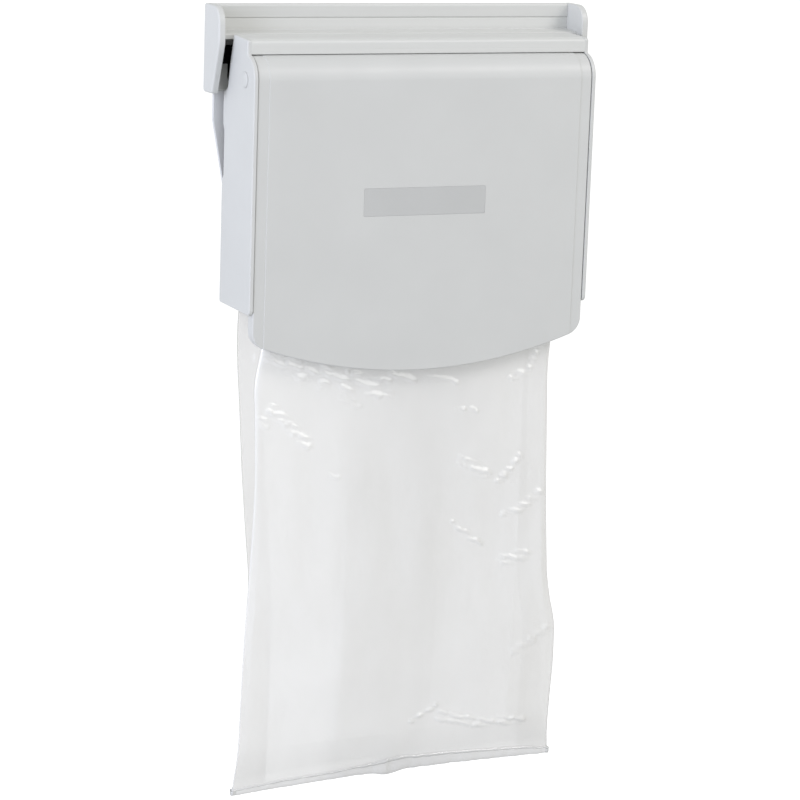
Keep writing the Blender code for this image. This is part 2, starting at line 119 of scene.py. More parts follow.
# The bag's film
FILM_OFF = 2.15  # from the middle of the hoop's wire
CUFF = 13.0  # inside the hoop
BACK_COLUMNS = 125
PANEL_COLUMNS = 2 * BACK_COLUMNS
GUSSET_COLUMNS = 10
GUSSET = 25.0  # depth of a side fold, when the bag lies flat
FOLDED_UNDER = 43.2  # the sides fold in where the bag is less deep than this
FILM_SECTIONS = (
    # height, front edges' X, back edges' X, back and front depth, corner radius
    (-158.0, -119.15, 119.15, -119.15, 119.15, 16.85, 60.15, 8.1),
    (-175.0, -118.0, 117.5, -121.0, 118.5, 15.4, 58.0, 8.0),
    (-205.0, -116.5, 113.5, -121.6, 115.5, 15.0, 55.4, 7.0),
    (-229.0, -122.5, 111.6, -120.4, 113.5, 15.6, 55.8, 7.0),
    (-251.0, -121.0, 112.2, -119.0, 113.5, 17.0, 56.0, 6.5),
    (-300.0, -119.5, 114.0, -117.0, 114.0, 20.0, 55.6, 6.0),
    (-335.0, -120.0, 115.6, -114.4, 115.5, 22.3, 54.4, 5.0),
    (-380.0, -121.5, 118.6, -110.6, 118.5, 25.2, 52.8, 4.0),
    (-405.0, -122.0, 122.0, -111.8, 122.0, 26.7, 51.6, 2.5),
    (-423.0, -122.3, 127.8, -112.8, 126.5, 28.0, 50.4, 2.5),
    (-455.0, -122.6, 128.6, -114.0, 128.0, 29.8, 49.0, 2.0),
    (-500.0, -122.8, 127.6, -117.0, 128.5, 32.0, 46.4, 2.0),
    (-520.0, -123.2, 129.5, -120.6, 130.0, 38.7, 41.1, 1.0),
    (-528.0, -123.2, 130.4, -123.2, 130.4, 39.1, 40.5, 0.3),
    (-533.5, -123.2, 130.4, -123.2, 130.4, 39.2, 40.2, 0.2),
)
SEAM_LEFT = -123.0
SEAM_WIDTH = 254.0
SEAM_DEPTH = 39.7
SEAM_SIDES = 12  # of its section
PUCKER_AT = -1.0  # the X of the seam's kink
PUCKER_REACH = 9.0
PLEAT = 6.0  # from one small fold of a crumpled band to the next
PLEAT_FRONT = 0.68  # the share of each that leans up
FILM_CREASES = (
    # from X and height, to X and height, reach of the crumpled band to each side
    (-113, -208, -90, -219, 7.0), (-92, -213, -84, -226, 6.0), (-84, -218, -68, -232, 6.5),
    (-66, -221, -48, -236, 6.0), (-47, -224, -30, -236, 6.0), (-30, -234, -17, -231, 5.0),
    (-14, -228, 0, -232, 4.5), (12, -232, 36, -235, 3.0), (-54, -243, -40, -248, 3.0),
    (-34, -242, -16, -242, 3.0), (-106, -248, -78, -275, 5.5), (-119, -254, -110, -258, 4.0),
    (101, -212, 91, -232, 3.0), (92, -231, 80, -234, 3.5), (35, -256, 43, -256, 2.2),
    (49, -256, 52, -258, 2.0), (43, -294, 62, -305, 5.5), (88, -294, 71, -313, 3.5),
    (78, -336, 92, -334, 2.6), (92, -332, 107, -322, 5.0), (37, -340, 60, -358, 3.0),
    (80, -372, 96, -368, 6.0), (37, -491, 70, -501, 5.5), (68, -500, 104, -501, 5.0),
    (13, -492, 33, -482, 2.4), (-60, -297, -55, -299, 2.0), (114, -268, 118, -270, 2.0),
    (127, -424, 93, -443, 5.0),
)

BODY_OF = {node: body for body, nodes in frame["record"]["behaviour"]["bodies"].items() for node in nodes}
SLOT_OF = {row["node"]: row["material_slot"] for row in frame["record"]["subparts"]}


def at(x, depth, z):
    return Vector((x, -depth, z)) * MM


# Camera, light and stage


def make_camera():
    azimuth, elevation, roll = (math.radians(a) for a in (VIEW_AZIMUTH, VIEW_ELEVATION, VIEW_ROLL))
    back = Vector((math.sin(azimuth) * math.cos(elevation), -math.cos(azimuth) * math.cos(elevation),
                   math.sin(elevation)))
    turn = (-back).to_track_quat("-Z", "Y").to_matrix().to_4x4()
    data = bpy.data.cameras.new("view")
    data.lens = VIEW_LENS
    data.sensor_width = 36.0
    camera = bpy.data.objects.new("view", data)
    bpy.context.scene.collection.objects.link(camera)
    spot = at(*VIEW_AIM) + back * VIEW_DISTANCE * MM
    camera.matrix_world = Matrix.Translation(spot) @ turn @ Matrix.Rotation(roll, 4, "Z")
    bpy.context.scene.camera = camera


def softbox(name, spot, aim, size, watts, colour):
    data = bpy.data.lights.new(name, "AREA")
    data.shape = "RECTANGLE"
    data.size, data.size_y = size
    data.energy = watts
    data.color = colour
    lamp = bpy.data.objects.new(name, data)
    bpy.context.scene.collection.objects.link(lamp)
    lamp.location = spot
    lamp.rotation_mode = "QUATERNION"
    lamp.rotation_quaternion = (Vector(aim) - Vector(spot)).to_track_quat("-Z", "Y")


def seen_as_white(tree, socket, lighting, seen):
    """The socket is at seen where the backdrop shows, and at lighting for the light that it gives."""
    path = tree.nodes.new("ShaderNodeLightPath")
    level = tree.nodes.new("ShaderNodeMapRange")
    level.inputs["To Min"].default_value = lighting
    level.inputs["To Max"].default_value = seen
    tree.links.new(path.outputs["Is Camera Ray"], level.inputs["Value"])
    tree.links.new(level.outputs["Result"], socket)


def make_light():
    middle = (0.0, -0.03, -0.22)
    softbox("key_softbox", (1.3, -1.5, 1.5), middle, (1.1, 0.8), 17.0, (1.0, 0.955, 0.945))
    softbox("left_softbox", (-2.1, -0.7, 0.3), middle, (1.3, 1.6), 36.0, (0.79, 0.825, 0.965))
    facet_x, facet_z = math.sin(math.radians(FACET_TURN)), math.tan(math.radians(FACET_RISE))
    mirror = Vector((facet_x, -1.0, facet_z)).normalized()
    toward = (bpy.context.scene.camera.location - at(*VIEW_AIM)).normalized()
    spot = Vector(middle) + (2 * mirror.dot(toward) * mirror - toward) * 2.5
    softbox("front_softbox", spot, middle, (1.15, 0.8), 4.8, (1.0, 1.0, 0.97))
    world = bpy.data.worlds.new("studio")
    bpy.context.scene.world = world
    world.use_nodes = True
    tree = world.node_tree
    ground = tree.nodes["Background"]
    ground.inputs["Color"].default_value = (0.985, 1.0, 0.99, 1.0)
    seen_as_white(tree, ground.inputs["Strength"], 0.70, 1.08)
    view = bpy.context.scene.view_settings
    view.view_transform = "Standard"
    view.look = "None"


def make_floor():
    shape = bmesh.new()
    bmesh.ops.create_circle(shape, cap_ends=True, segments=96, radius=16.0)
    mesh_data = bpy.data.meshes.new("floor")
    shape.to_mesh(mesh_data)
    shape.free()
    floor = bpy.data.objects.new("floor", mesh_data)
    floor.location = (0.0, 0.0, -1.25)
    bpy.context.scene.collection.objects.link(floor)
    paper = bpy.data.materials.new("floor_paper")
    paper.use_nodes = True
    shader = paper.node_tree.nodes["Principled BSDF"]
    shader.inputs["Base Color"].default_value = (0.7, 0.7, 0.7, 1.0)
    shader.inputs["Roughness"].default_value = 0.9
    shader.inputs["Specular IOR Level"].default_value = 0.1
    shader.inputs["Emission Color"].default_value = (1.0, 1.0, 1.0, 1.0)
    seen_as_white(paper.node_tree, shader.inputs["Emission Strength"], 0.0, 0.6)
    floor.data.materials.append(paper)


# Materials


class Finish:
    """A Principled material whose colour, roughness and bump come from noise in the frame's coordinates."""

    def __init__(self, name, roughness, **settings):
        self.material = bpy.data.materials.new(name)
        self.material.use_nodes = True
        self.tree = self.material.node_tree
        self.shader = self.tree.nodes["Principled BSDF"]
        self.place = self.add("ShaderNodeTexCoord").outputs["Object"]
        self.shader.inputs["Roughness"].default_value = roughness
        for socket, value in settings.items():
            self.shader.inputs[socket.replace("_", " ")].default_value = value

    def add(self, kind):
        return self.tree.nodes.new(kind)

    def grain(self, size_mm, stretch=(1, 1, 1), detail=2.0, rough=0.5):
        """Noise whose blotches are about this many millimetres, longer where stretch is over 1."""
        mapping = self.add("ShaderNodeMapping")
        mapping.inputs["Scale"].default_value = [1 / s for s in stretch]
        self.tree.links.new(self.place, mapping.inputs["Vector"])
        texture = self.add("ShaderNodeTexNoise")
        texture.inputs["Scale"].default_value = 1000.0 / size_mm
        texture.inputs["Detail"].default_value = detail
        texture.inputs["Roughness"].default_value = rough
        self.tree.links.new(mapping.outputs["Vector"], texture.inputs["Vector"])
        return texture.outputs["Fac"]

    def ranged(self, value, low, high, spread=0.25):
        """The noise value, stretched about its middle and mapped to low..high."""
        level = self.add("ShaderNodeMapRange")
        level.inputs["From Min"].default_value = 0.5 - spread
        level.inputs["From Max"].default_value = 0.5 + spread
        level.inputs["To Min"].default_value = low
        level.inputs["To Max"].default_value = high
        self.tree.links.new(value, level.inputs["Value"])
        return level.outputs["Result"]

    def colour(self, dark, light, value):
        mix = self.add("ShaderNodeMix")
        mix.data_type = "RGBA"
        mix.inputs["A"].default_value = (*dark, 1.0)
        mix.inputs["B"].default_value = (*light, 1.0)
        self.tree.links.new(self.ranged(value, 0.0, 1.0), mix.inputs["Factor"])
        self.tree.links.new(mix.outputs["Result"], self.shader.inputs["Base Color"])

    def roughen(self, value, low, high):
        self.tree.links.new(self.ranged(value, low, high), self.shader.inputs["Roughness"])

    def bump(self, *layers):
        """Layers of (noise value, height in mm), one on another."""
        normal = None
        for value, height in layers:
            bump = self.add("ShaderNodeBump")
            bump.inputs["Distance"].default_value = height * MM
            self.tree.links.new(value, bump.inputs["Height"])
            if normal:
                self.tree.links.new(normal, bump.inputs["Normal"])
            normal = bump.outputs["Normal"]
        self.tree.links.new(normal, self.shader.inputs["Normal"])


def scaled(colour, factor):
    return tuple(c * factor for c in colour)


def moulded(name, colour, roughness, shine=0.5):
    """Satin moulded plastic: cloudy colour, a fine eroded grain and a faint orange peel."""
    made = Finish(name, roughness, Specular_IOR_Level=shine)
    made.colour(scaled(colour, 0.975), scaled(colour, 1.02), made.grain(55.0, detail=3.0))
    made.roughen(made.grain(18.0, detail=3.0), roughness - 0.04, roughness + 0.05)
    made.bump((made.grain(0.7, detail=3.0), 0.02), (made.grain(9.0), 0.03))
    return made.material


def extruded(name, colour, roughness):
    """Extruded plastic: fine die lines along X over the same satin."""
    made = Finish(name, roughness, Specular_IOR_Level=0.5)
    lines = made.grain(0.9, stretch=(260, 1, 1), detail=2.0)
    made.colour(scaled(colour, 0.965), scaled(colour, 1.02), made.grain(3.5, stretch=(90, 1, 1), detail=3.0))
    made.roughen(lines, roughness - 0.05, roughness + 0.06)
    made.bump((lines, 0.012), (made.grain(1.1, detail=2.0), 0.01))
    return made.material


def rubber(name, colour):
    made = Finish(name, 0.75, Specular_IOR_Level=0.03)
    made.colour(scaled(colour, 0.7), scaled(colour, 1.6), made.grain(4.0, detail=4.0))
    made.roughen(made.grain(2.0), 0.68, 0.85)
    made.bump((made.grain(0.5, detail=3.0), 0.05))
    return made.material


def zinc(name, colour):
    made = Finish(name, 0.28, Metallic=1.0)
    made.colour(scaled(colour, 0.88), scaled(colour, 1.06), made.grain(6.0, detail=4.0))
    made.roughen(made.grain(1.2, stretch=(12, 1, 1), detail=3.0), 0.2, 0.4)
    made.bump((made.grain(0.35, stretch=(20, 1, 1), detail=2.0), 0.006))
    return made.material


def film(name, colour, opacity):
    """Thin translucent polythene: glossy, a little cloudy, paler on the side where it was folded over, and
    with painted shade darkening the middle of the bag across X.
    """
    made = Finish(name, 0.12, Specular_IOR_Level=1.0, IOR=1.6)
    place = made.add("ShaderNodeSeparateXYZ")
    made.tree.links.new(made.place, place.inputs["Vector"])
    across = made.ranged(place.outputs["X"], 0.0, 1.0)
    across.node.inputs["From Min"].default_value, across.node.inputs["From Max"].default_value = -0.125, 0.131
    # Tone across X: paler where the film lies folded over, and painted shade darkening the middle of the bag.
    folds = made.add("ShaderNodeValToRGB")
    stops = ((0.0, 0.8), (0.05, 0.8), (0.08, 0.71), (0.26, 0.64), (0.33, 0.47), (0.56, 0.36), (0.62, 0.42),
             (1.0, 0.64))
    for position, level in stops[1:-1]:
        folds.color_ramp.elements.new(position).color = (level, level, level, 1.0)
    for end, (_, level) in ((0, stops[0]), (-1, stops[-1])):
        folds.color_ramp.elements[end].color = (level, level, level, 1.0)
    made.tree.links.new(across, folds.inputs["Fac"])
    clouds = made.ranged(made.grain(85.0, detail=2.0), -0.05, 0.05)
    tone = made.add("ShaderNodeMath")
    made.tree.links.new(folds.outputs["Color"], tone.inputs[0])
    made.tree.links.new(clouds, tone.inputs[1])
    made.colour(scaled(colour, 0.91), scaled(colour, 1.06), tone.outputs["Value"])
    made.roughen(made.grain(14.0, detail=3.0), 0.06, 0.14)
    cloudy = made.ranged(made.grain(45.0, stretch=(1, 1, 2.5), detail=2.0), opacity - 0.03, opacity + 0.03)
    made.tree.links.new(cloudy, made.shader.inputs["Alpha"])
    made.bump((made.grain(3.2, stretch=(1, 1, 1.6), detail=3.0), 0.035), (made.grain(19.0, detail=2.0), 0.2))
    return made.material


def make_materials():
    return {
        "light_grey_plastic": moulded("moulded_plastic", (0.605, 0.61, 0.60), 0.40),
        "extruded_plastic": extruded("extruded_plastic", (0.655, 0.66, 0.645), 0.42),
        "grey_plastic": moulded("rear_plastic", (0.66, 0.665, 0.675), 0.5),
        "label_grey": moulded("badge_plastic", (0.515, 0.52, 0.515), 0.5),
        # Black plastic and rubber are set near zero, darker than real black, and without sheen: painted shade
        # for the deep shade in the gap between each end cap and cheek.
        "black_plastic": moulded("black_plastic", (0.001, 0.001, 0.0011), 0.6, 0.0),
        "black_rubber": rubber("bush_rubber_black_as_shade", (0.001, 0.001, 0.0011)),
        "zinc_steel": zinc("bright_zinc", (0.72, 0.72, 0.74)),
        "bag_film": film("bag_film", (0.905, 0.898, 0.882), 0.80),
        # The side folds' darker, warmer copy of the film is painted shade on panels that face the bright
        # bluish left light.
        "side_fold_shaded": film("side_fold_shaded", (0.765, 0.747, 0.70), 0.80),
        "bag_seam": film("bag_seam", (0.80, 0.795, 0.785), 0.9),
        "sealed_film_and_curl_shade": film("sealed_film_and_curl_shade", (0.70, 0.70, 0.69), 0.85),
    }


# Shapes


def rounded(corners, step_deg=7.5):
    """The outline through these corners, each (u, v) or (u, v, radius), with an arc at each radius."""
    outline = []
    for index, corner in enumerate(corners):
        point = Vector(corner[:2])
        if len(corner) < 3:
            outline.append(point)
            continue
        before = (Vector(corners[index - 1][:2]) - point).normalized()
        after = (Vector(corners[(index + 1) % len(corners)][:2]) - point).normalized()
        half = before.angle(after) / 2
        centre = point + (before + after).normalized() * corner[2] / math.sin(half)
        start = point + before * corner[2] / math.tan(half) - centre
        sweep = math.pi - 2 * half
        turn = math.copysign(sweep, start.x * (point - centre).y - start.y * (point - centre).x)
        steps = max(2, round(math.degrees(sweep) / step_deg))
        for step in range(steps + 1):
            outline.append(centre + Matrix.Rotation(turn * step / steps, 2) @ start)
    return outline


def arc(centre, radius, first_deg, last_deg, steps):
    angles = [math.radians(first_deg + (last_deg - first_deg) * i / steps) for i in range(steps + 1)]
    return [(centre[0] + radius * math.cos(a), centre[1] + radius * math.sin(a)) for a in angles]


def new_object(name, mesh_data):
    obj = bpy.data.objects.new(name, mesh_data)
    bpy.context.scene.collection.objects.link(obj)
    return obj


def from_bmesh(name, shape):
    bmesh.ops.recalc_face_normals(shape, faces=shape.faces)
    mesh_data = bpy.data.meshes.new(name)
    shape.to_mesh(mesh_data)
    shape.free()
    return new_object(name, mesh_data)


def prism(name, outline, low, high, spot):
    shape = bmesh.new()
    ends = [[shape.verts.new(spot(u, v, w)) for u, v in outline] for w in (low, high)]
    for end in ends:
        shape.faces.new(end)
    for i in range(len(outline)):
        j = (i + 1) % len(outline)
        shape.faces.new((ends[0][i], ends[0][j], ends[1][j], ends[1][i]))
    return from_bmesh(name, shape)


def along_x(name, outline, low, high):
    return prism(name, outline, low, high, lambda u, v, w: at(w, u, v))


def along_depth(name, outline, low, high):
    return prism(name, outline, low, high, lambda u, v, w: at(u, w, v))


def block(name, xs, depths, heights):
    (rear, front), (low, high) = depths, heights
    return along_x(name, [(rear, low), (front, low), (front, high), (rear, high)], *xs)


def turned(name, profile, centre, axis, sides=40):
    """A solid turned about a line through centre; its profile is (distance along axis, radius)."""
    shape = bmesh.new()
    turn = Vector((0, 0, 1)).rotation_difference(Vector(axis)).to_matrix()
    rings = []
    for along, radius in profile:
        angles = [2 * math.pi * i / sides for i in range(sides)]
        spots = [Vector((radius * math.cos(a), radius * math.sin(a), along)) * MM for a in angles]
        rings.append([shape.verts.new(turn @ spot + centre) for spot in spots])
    for first, second in zip(rings, rings[1:]):
        for i in range(sides):
            j = (i + 1) % sides
            shape.faces.new((first[i], first[j], second[j], second[i]))
    shape.faces.new(rings[0])
    shape.faces.new(rings[-1])
    return from_bmesh(name, shape)


def rod_x(name, centre, radius, low, high, sides=40):
    return turned(name, [(0, radius), (high - low, radius)], at(low, *centre), (1, 0, 0), sides)


def settle(obj):
    graph = bpy.context.evaluated_depsgraph_get()
    made = bpy.data.meshes.new_from_object(obj.evaluated_get(graph))
    obj.modifiers.clear()
    obj.data = made


def combine(obj, others, operation):
    for other in others:
        modifier = obj.modifiers.new(operation.lower(), "BOOLEAN")
        modifier.operation = operation
        modifier.object = other
        bpy.context.view_layer.update()
        settle(obj)
        bpy.data.objects.remove(other, do_unlink=True)
    return obj


def cut(obj, *cutters):
    return combine(obj, cutters, "DIFFERENCE")


def join(obj, *others):
    return combine(obj, others, "UNION")


def bevel(obj, width, segments=4, angle_deg=35.0):
    modifier = obj.modifiers.new("round", "BEVEL")
    modifier.width = width * MM
    modifier.segments = segments
    modifier.limit_method = "ANGLE"
    modifier.angle_limit = math.radians(angle_deg)
    modifier.use_clamp_overlap = True
    settle(obj)
    return obj


def soften(obj, plane_x, width, segments=5):
    """Rounds only the edges that lie in the plane X = plane_x."""
    shape = bmesh.new()
    shape.from_mesh(obj.data)
    flat = [edge for edge in shape.edges if all(abs(v.co.x - plane_x * MM) < 1e-6 for v in edge.verts)]
    bmesh.ops.bevel(shape, geom=flat, offset=width * MM, offset_type="OFFSET", segments=segments, profile=0.5,
                    affect="EDGES", clamp_overlap=True)
    shape.to_mesh(obj.data)
    shape.free()
    return obj


def wire(name, points, radius, closed):
    """A round wire through these points, in X, depth and height."""
    curve = bpy.data.curves.new(name, "CURVE")
    curve.dimensions = "3D"
    curve.bevel_depth = radius * MM
    curve.bevel_resolution = 6
    curve.use_fill_caps = not closed
    spline = curve.splines.new("POLY")
    spline.points.add(len(points) - 1)
    spline.use_cyclic_u = closed
    spline.use_smooth = True
    for spot, point in zip(spline.points, points):
        spot.co = (*at(*point), 1.0)
    return new_object(name, curve)


def bent(points, reach):
    """The route through these points with each inner corner rounded, starting reach millimetres before it."""
    route = [Vector(points[0])]
    for before, corner, after in zip(points, points[1:], points[2:]):
        corner = Vector(corner)
        sides = [Vector(end) - corner for end in (before, after)]
        first, last = (corner + side.normalized() * min(reach, side.length * 0.45) for side in sides)
        for step in range(9):
            t = step / 8
            route.append(first.lerp(corner, t).lerp(corner.lerp(last, t), t))
    return route + [Vector(points[-1])]


def detailed(node, obj, materials, *more_nodes):
    """Puts a finished piece in the place of its CAD node, on the node's body and with its slot."""
    obj.name = node + "_detailed"
    obj.data.name = obj.name
    obj.data.materials.clear()
    obj.data.materials.append(materials[SLOT_OF[node]])
    if obj.type == "MESH":
        obj.data.shade_smooth()
        obj.data.set_sharp_from_angle(angle=math.radians(40))
        weighted = obj.modifiers.new("even shading", "WEIGHTED_NORMAL")
        weighted.keep_sharp = True
    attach(obj, BODY_OF[node])
    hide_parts(node, *more_nodes)
    return obj


# Wall pieces


def make_rail(materials):
    top, bottom = RAIL_HALF_HEIGHT, -RAIL_HALF_HEIGHT
    depth, lip_top = SHELF_FRONT
    outline = rounded([
        (0, bottom), (RAIL_WALL, bottom, 0.8),
        (RAIL_WALL, SHELF_REAR[1] - SHELF_WALL, 0.8), (depth - SHELF_WALL, lip_top - SHELF_WALL, 0.6),
        (depth - SHELF_WALL, SHELF_LIP_BOTTOM, 0.4), (depth, SHELF_LIP_BOTTOM, 0.5), (depth, lip_top, 1.6),
        (*SHELF_REAR, 0.3),
        (RAIL_WALL, 14.0, 3.0), (RAIL_WALL - 0.6, 19.2, 1.0), (RAIL_WALL - 0.9, 20.1, 0.3),
        (RAIL_WALL, 20.8, 0.7), (RAIL_WALL, top, 1.8), (0, top, 0.4),
    ], 10)
    half = CAP_INNER - 0.1
    screw_x, screw_z = RAIL_SCREW
    rail = along_x("rail", outline, -half, half)
    holes = [turned("hole", [(-10, SCREW_HOLE), (10, SCREW_HOLE)], at(x, 3, screw_z), (0, 1, 0))
             for x in (-screw_x, screw_x)]
    detailed("wall_rail", cut(rail, *holes), materials)


def make_cap(word, side, materials):
    outline = rounded([
        (0, 30.2, 1.5), (29.7, 30.2, 12.5), (29.7, 4.5, 10.0), (17.2, -30.8, 3.0), (0, -31.1, 2.6),
    ], 8)
    inner, outer = side * CAP_INNER, side * (CAP_INNER + CAP_THICK)
    cap = along_x("cap", outline, *sorted((inner, outer)))
    soften(cap, outer, 1.9, 7)
    soften(cap, inner, 0.8)
    detailed(f"{word}_end_cap", cap, materials)


def make_back_plate(materials):
    half = [(135.5, -30.05, 2.0), (135.5, -50.6, 6.0), (118.6, -141.0, 20.0), (112.0, -176.0, 8.0)]
    outline = rounded([(-x, z, r) for x, z, r in half] + half[::-1], 5)
    plate = bevel(along_depth("plate", outline, 1.6, 4.2), 0.7, 4, 60)
    spots = PLATE_SCREWS.values()
    bosses = [turned("boss", [(0, 5.6), (0.4, 6.0), (2.0, 6.0)], at(x, 2.0, z), (0, 1, 0)) for x, z in spots]
    bore = [(-6, SCREW_HOLE), (6, SCREW_HOLE)]
    holes = [turned("hole", bore, at(x, 2.0, z), (0, 1, 0)) for x, z in spots]
    detailed("back_plate", cut(join(plate, *bosses), *holes), materials)


def screw(node, centre, axis, head_radius, shank_radius, shank_length, materials):
    """A pan-head screw with a cross recess; centre is where its head meets its shank."""
    head, pitch, tip = 2.0, 0.9, shank_length - 0.6
    turns = int((tip - 0.6) / pitch)
    thread = [(-0.6 - (turn + phase) * pitch, shank_radius * width)
              for turn in range(turns) for phase, width in ((0.0, 1.0), (0.5, 0.78))]
    dome = [(head * (0.45 + 0.55 * math.sin(a)), head_radius * (0.52 + 0.48 * math.cos(a)))
            for a in QUARTER_TURN]
    profile = [(-shank_length, shank_radius * 0.5), *thread[::-1], (0.0, shank_radius * 0.78),
               (0.0, head_radius * 0.96), (head * 0.1, head_radius), *dome]
    made = turned(node, profile, centre, axis)
    turn = Vector((0, 0, 1)).rotation_difference(Vector(axis)).to_matrix().to_4x4()
    reach = head_radius * 0.45
    for angle in (0, math.pi / 2):
        slot = block("slot", (-reach, reach), (-0.35, 0.35), (head * 0.45, head * 2))
        slot.data.transform(Matrix.Translation(centre) @ turn @ Matrix.Rotation(angle, 4, "Z"))
        cut(made, slot)
    detailed(node, made, materials)


def chamfered(length, radius, chamfer=0.5):
    """The profile of a round bar with both ends chamfered."""
    return [(0, radius - chamfer), (chamfer, radius), (length - chamfer, radius), (length, radius - chamfer)]


def make_wall_fittings(materials):
    rod_end = CAP_INNER + 2.3
    rod = chamfered(2 * rod_end, ROD_RADIUS)
    detailed("hinge_rod", turned("rod", rod, at(-rod_end, *SWING_AXIS), (1, 0, 0)), materials)
    for word, side in SIDES:
        # The bush's near-zero black is painted shade in the gap between end cap and cheek.
        bush = chamfered(CAP_INNER - GAP - CHEEK_INNER, BUSH_RADIUS)
        made = turned("bush", bush, at(side * CHEEK_INNER, *SWING_AXIS), (side, 0, 0), 64)
        bore = rod_x("bore", SWING_AXIS, HOLE_RADIUS, *sorted((side * 120, side * 150)))
        detailed(f"{word}_hinge_bush", cut(made, bore), materials)
        bumper = [(0.0, 5.0), (2.6, 5.0)]
        bumper += [(2.6 + 2.0 * math.sin(a), 3.4 + 1.6 * math.cos(a)) for a in QUARTER_TURN[1:]]
        detailed(f"{word}_bumper", turned("bumper", bumper, at(side * 105, 4.5, -167), (0, -1, 0)), materials)
        head_at = at(side * RAIL_SCREW[0], RAIL_WALL + GAP, RAIL_SCREW[1])
        screw(f"{word}_rail_screw", head_at, (0, -1, 0), 3.8, 1.8, 5.4, materials)
    for word, (x, z) in PLATE_SCREWS.items():
        screw(f"{word}_plate_screw", at(x, 4.5, z), (0, -1, 0), 3.8, 1.8, 4.1, materials)


# Box pieces


def make_header(materials):
    front, top = HEADER_FRONT
    rear, rear_top = HEADER_REAR
    under = top - HEADER_WALL
    low = PEG_HEIGHT - 2.7
    channels = []
    for depth in reversed(PEG_DEPTHS):
        near, far = depth - 3.0, depth + 3.0
        channels += [(far, under, 0.3), (far, low, 0.3), (near, low, 0.3), (near, under, 0.3)]
    lip_rear, lip_bottom = front - HEADER_WALL, LIP_BOTTOM - 0.15
    outline = rounded([
        (rear, rear_top - HEADER_WALL, 0.3), (rear, rear_top, 0.7), (front - 4.2, top + 0.3, 1.0),
        (front - 3.4, top - 0.2, 0.5), (front, top - 0.4, 2.2), (front, 3.4, 0.3), (front - 0.08, 2.9),
        (front, 2.4, 0.3), (front, lip_bottom, 0.5), (lip_rear, lip_bottom, 0.3), (lip_rear, under, 0.8),
        *channels,
    ], 9)
    half = CHEEK_INNER - 0.02
    detailed("header_profile", along_x("header", outline, -half, half), materials)


def make_cheek(word, side, materials):
    front = LID_FRONT + 0.2
    nose = arc(LID_AXIS, front - LID_AXIS[0], 78, 4, 22)
    outline = rounded([
        (*HEADER_REAR, 1.0), (*HEADER_FRONT, 2.0), (HEADER_FRONT[0], LIP_BOTTOM + 0.2),
        *nose, (front, CHEEK_BOTTOM, 4.0), (CHEEK_REAR, CHEEK_BOTTOM, 2.0),
        (CHEEK_REAR, -92.0), (12.0, -88.0, 2.0), (12.0, -57.0, 2.0), (CHEEK_REAR, -52.0),
        (CHEEK_REAR, -29.6, 1.5), (16.9, -27.2, 6.0), (21.2, -7.0, 30.0),
    ], 6)
    outer, inner = side * BOX_HALF, side * CHEEK_INNER
    plate = along_x("cheek", outline, *sorted((inner, outer)))
    soften(plate, outer, 1.2)
    stop = block("stop", sorted((side * 124.4, side * (CHEEK_INNER + 1))), (53.5, 57.9), (-150, -141))
    detailed(f"{word}_cheek", join(plate, bevel(stop, 0.5, 3)), materials)


def make_hinge_arm(word, side, materials):
    depth, height = SWING_AXIS
    rear = depth - BUSH_RADIUS
    # The arm's rear part reaches down behind the cheek's slanted edge; its near-zero black there is painted
    # shade for the deep gap behind the cheek.
    outline = rounded([
        (rear, height), (rear, -21.0, 4.0), (15.0, -26.0, 3.0), (31.5, -25.0, 2.0), (33.0, 4.5, 2.0),
        (30.5, 4.5, 2.0), (17.5, -0.5), (depth, height + 5.0),
    ], 8)
    span = sorted((side * (CHEEK_INNER - GAP), side * (CHEEK_INNER - 2.9)))
    arm = join(along_x("arm", outline, *span), rod_x("eye", SWING_AXIS, BUSH_RADIUS, *span, 64))
    reach = sorted((side * 115, side * 135))
    holes = [rod_x("hole", spot, 1.7, *reach) for spot in ARM_SCREWS.values()]
    cut(arm, rod_x("hole", SWING_AXIS, HOLE_RADIUS, *reach), *holes)
    detailed(f"{word}_hinge_arm", bevel(arm, 0.3, 3, 60), materials)
    for word_2, spot in ARM_SCREWS.items():
        head_at = at(side * (CHEEK_INNER - 3.2), *spot)
        screw(f"{word}_{word_2}_arm_screw", head_at, (-side, 0, 0), 2.8, 1.35, 4.8, materials)


def make_lid_pin(word, side, materials):
    dome = [(0.35 + 0.75 * math.sin(a), 3.2 + 2.3 * math.cos(a)) for a in QUARTER_TURN]
    pin = [(-8.0, ROD_RADIUS - 0.4), (-7.6, ROD_RADIUS), (-GAP, ROD_RADIUS), (-GAP, 5.5), *dome]
    pin_at = at(side * (BOX_HALF + GAP), *LID_AXIS)
    detailed(f"{word}_lid_pin", turned("pin", pin, pin_at, (side, 0, 0), 64), materials)


def make_crossbar(materials):
    outline = rounded([(9.4, -176.0, 0.4), (11.4, -176.0, 0.6), (11.4, -158.0, 0.5), (14.4, -158.0, 0.4),
                       (14.4, -156.0, 0.6), (9.4, -156.0, 0.6)], 12)
    half = CHEEK_INNER - GAP
    detailed("rear_crossbar", along_x("crossbar", outline, -half, half), materials)


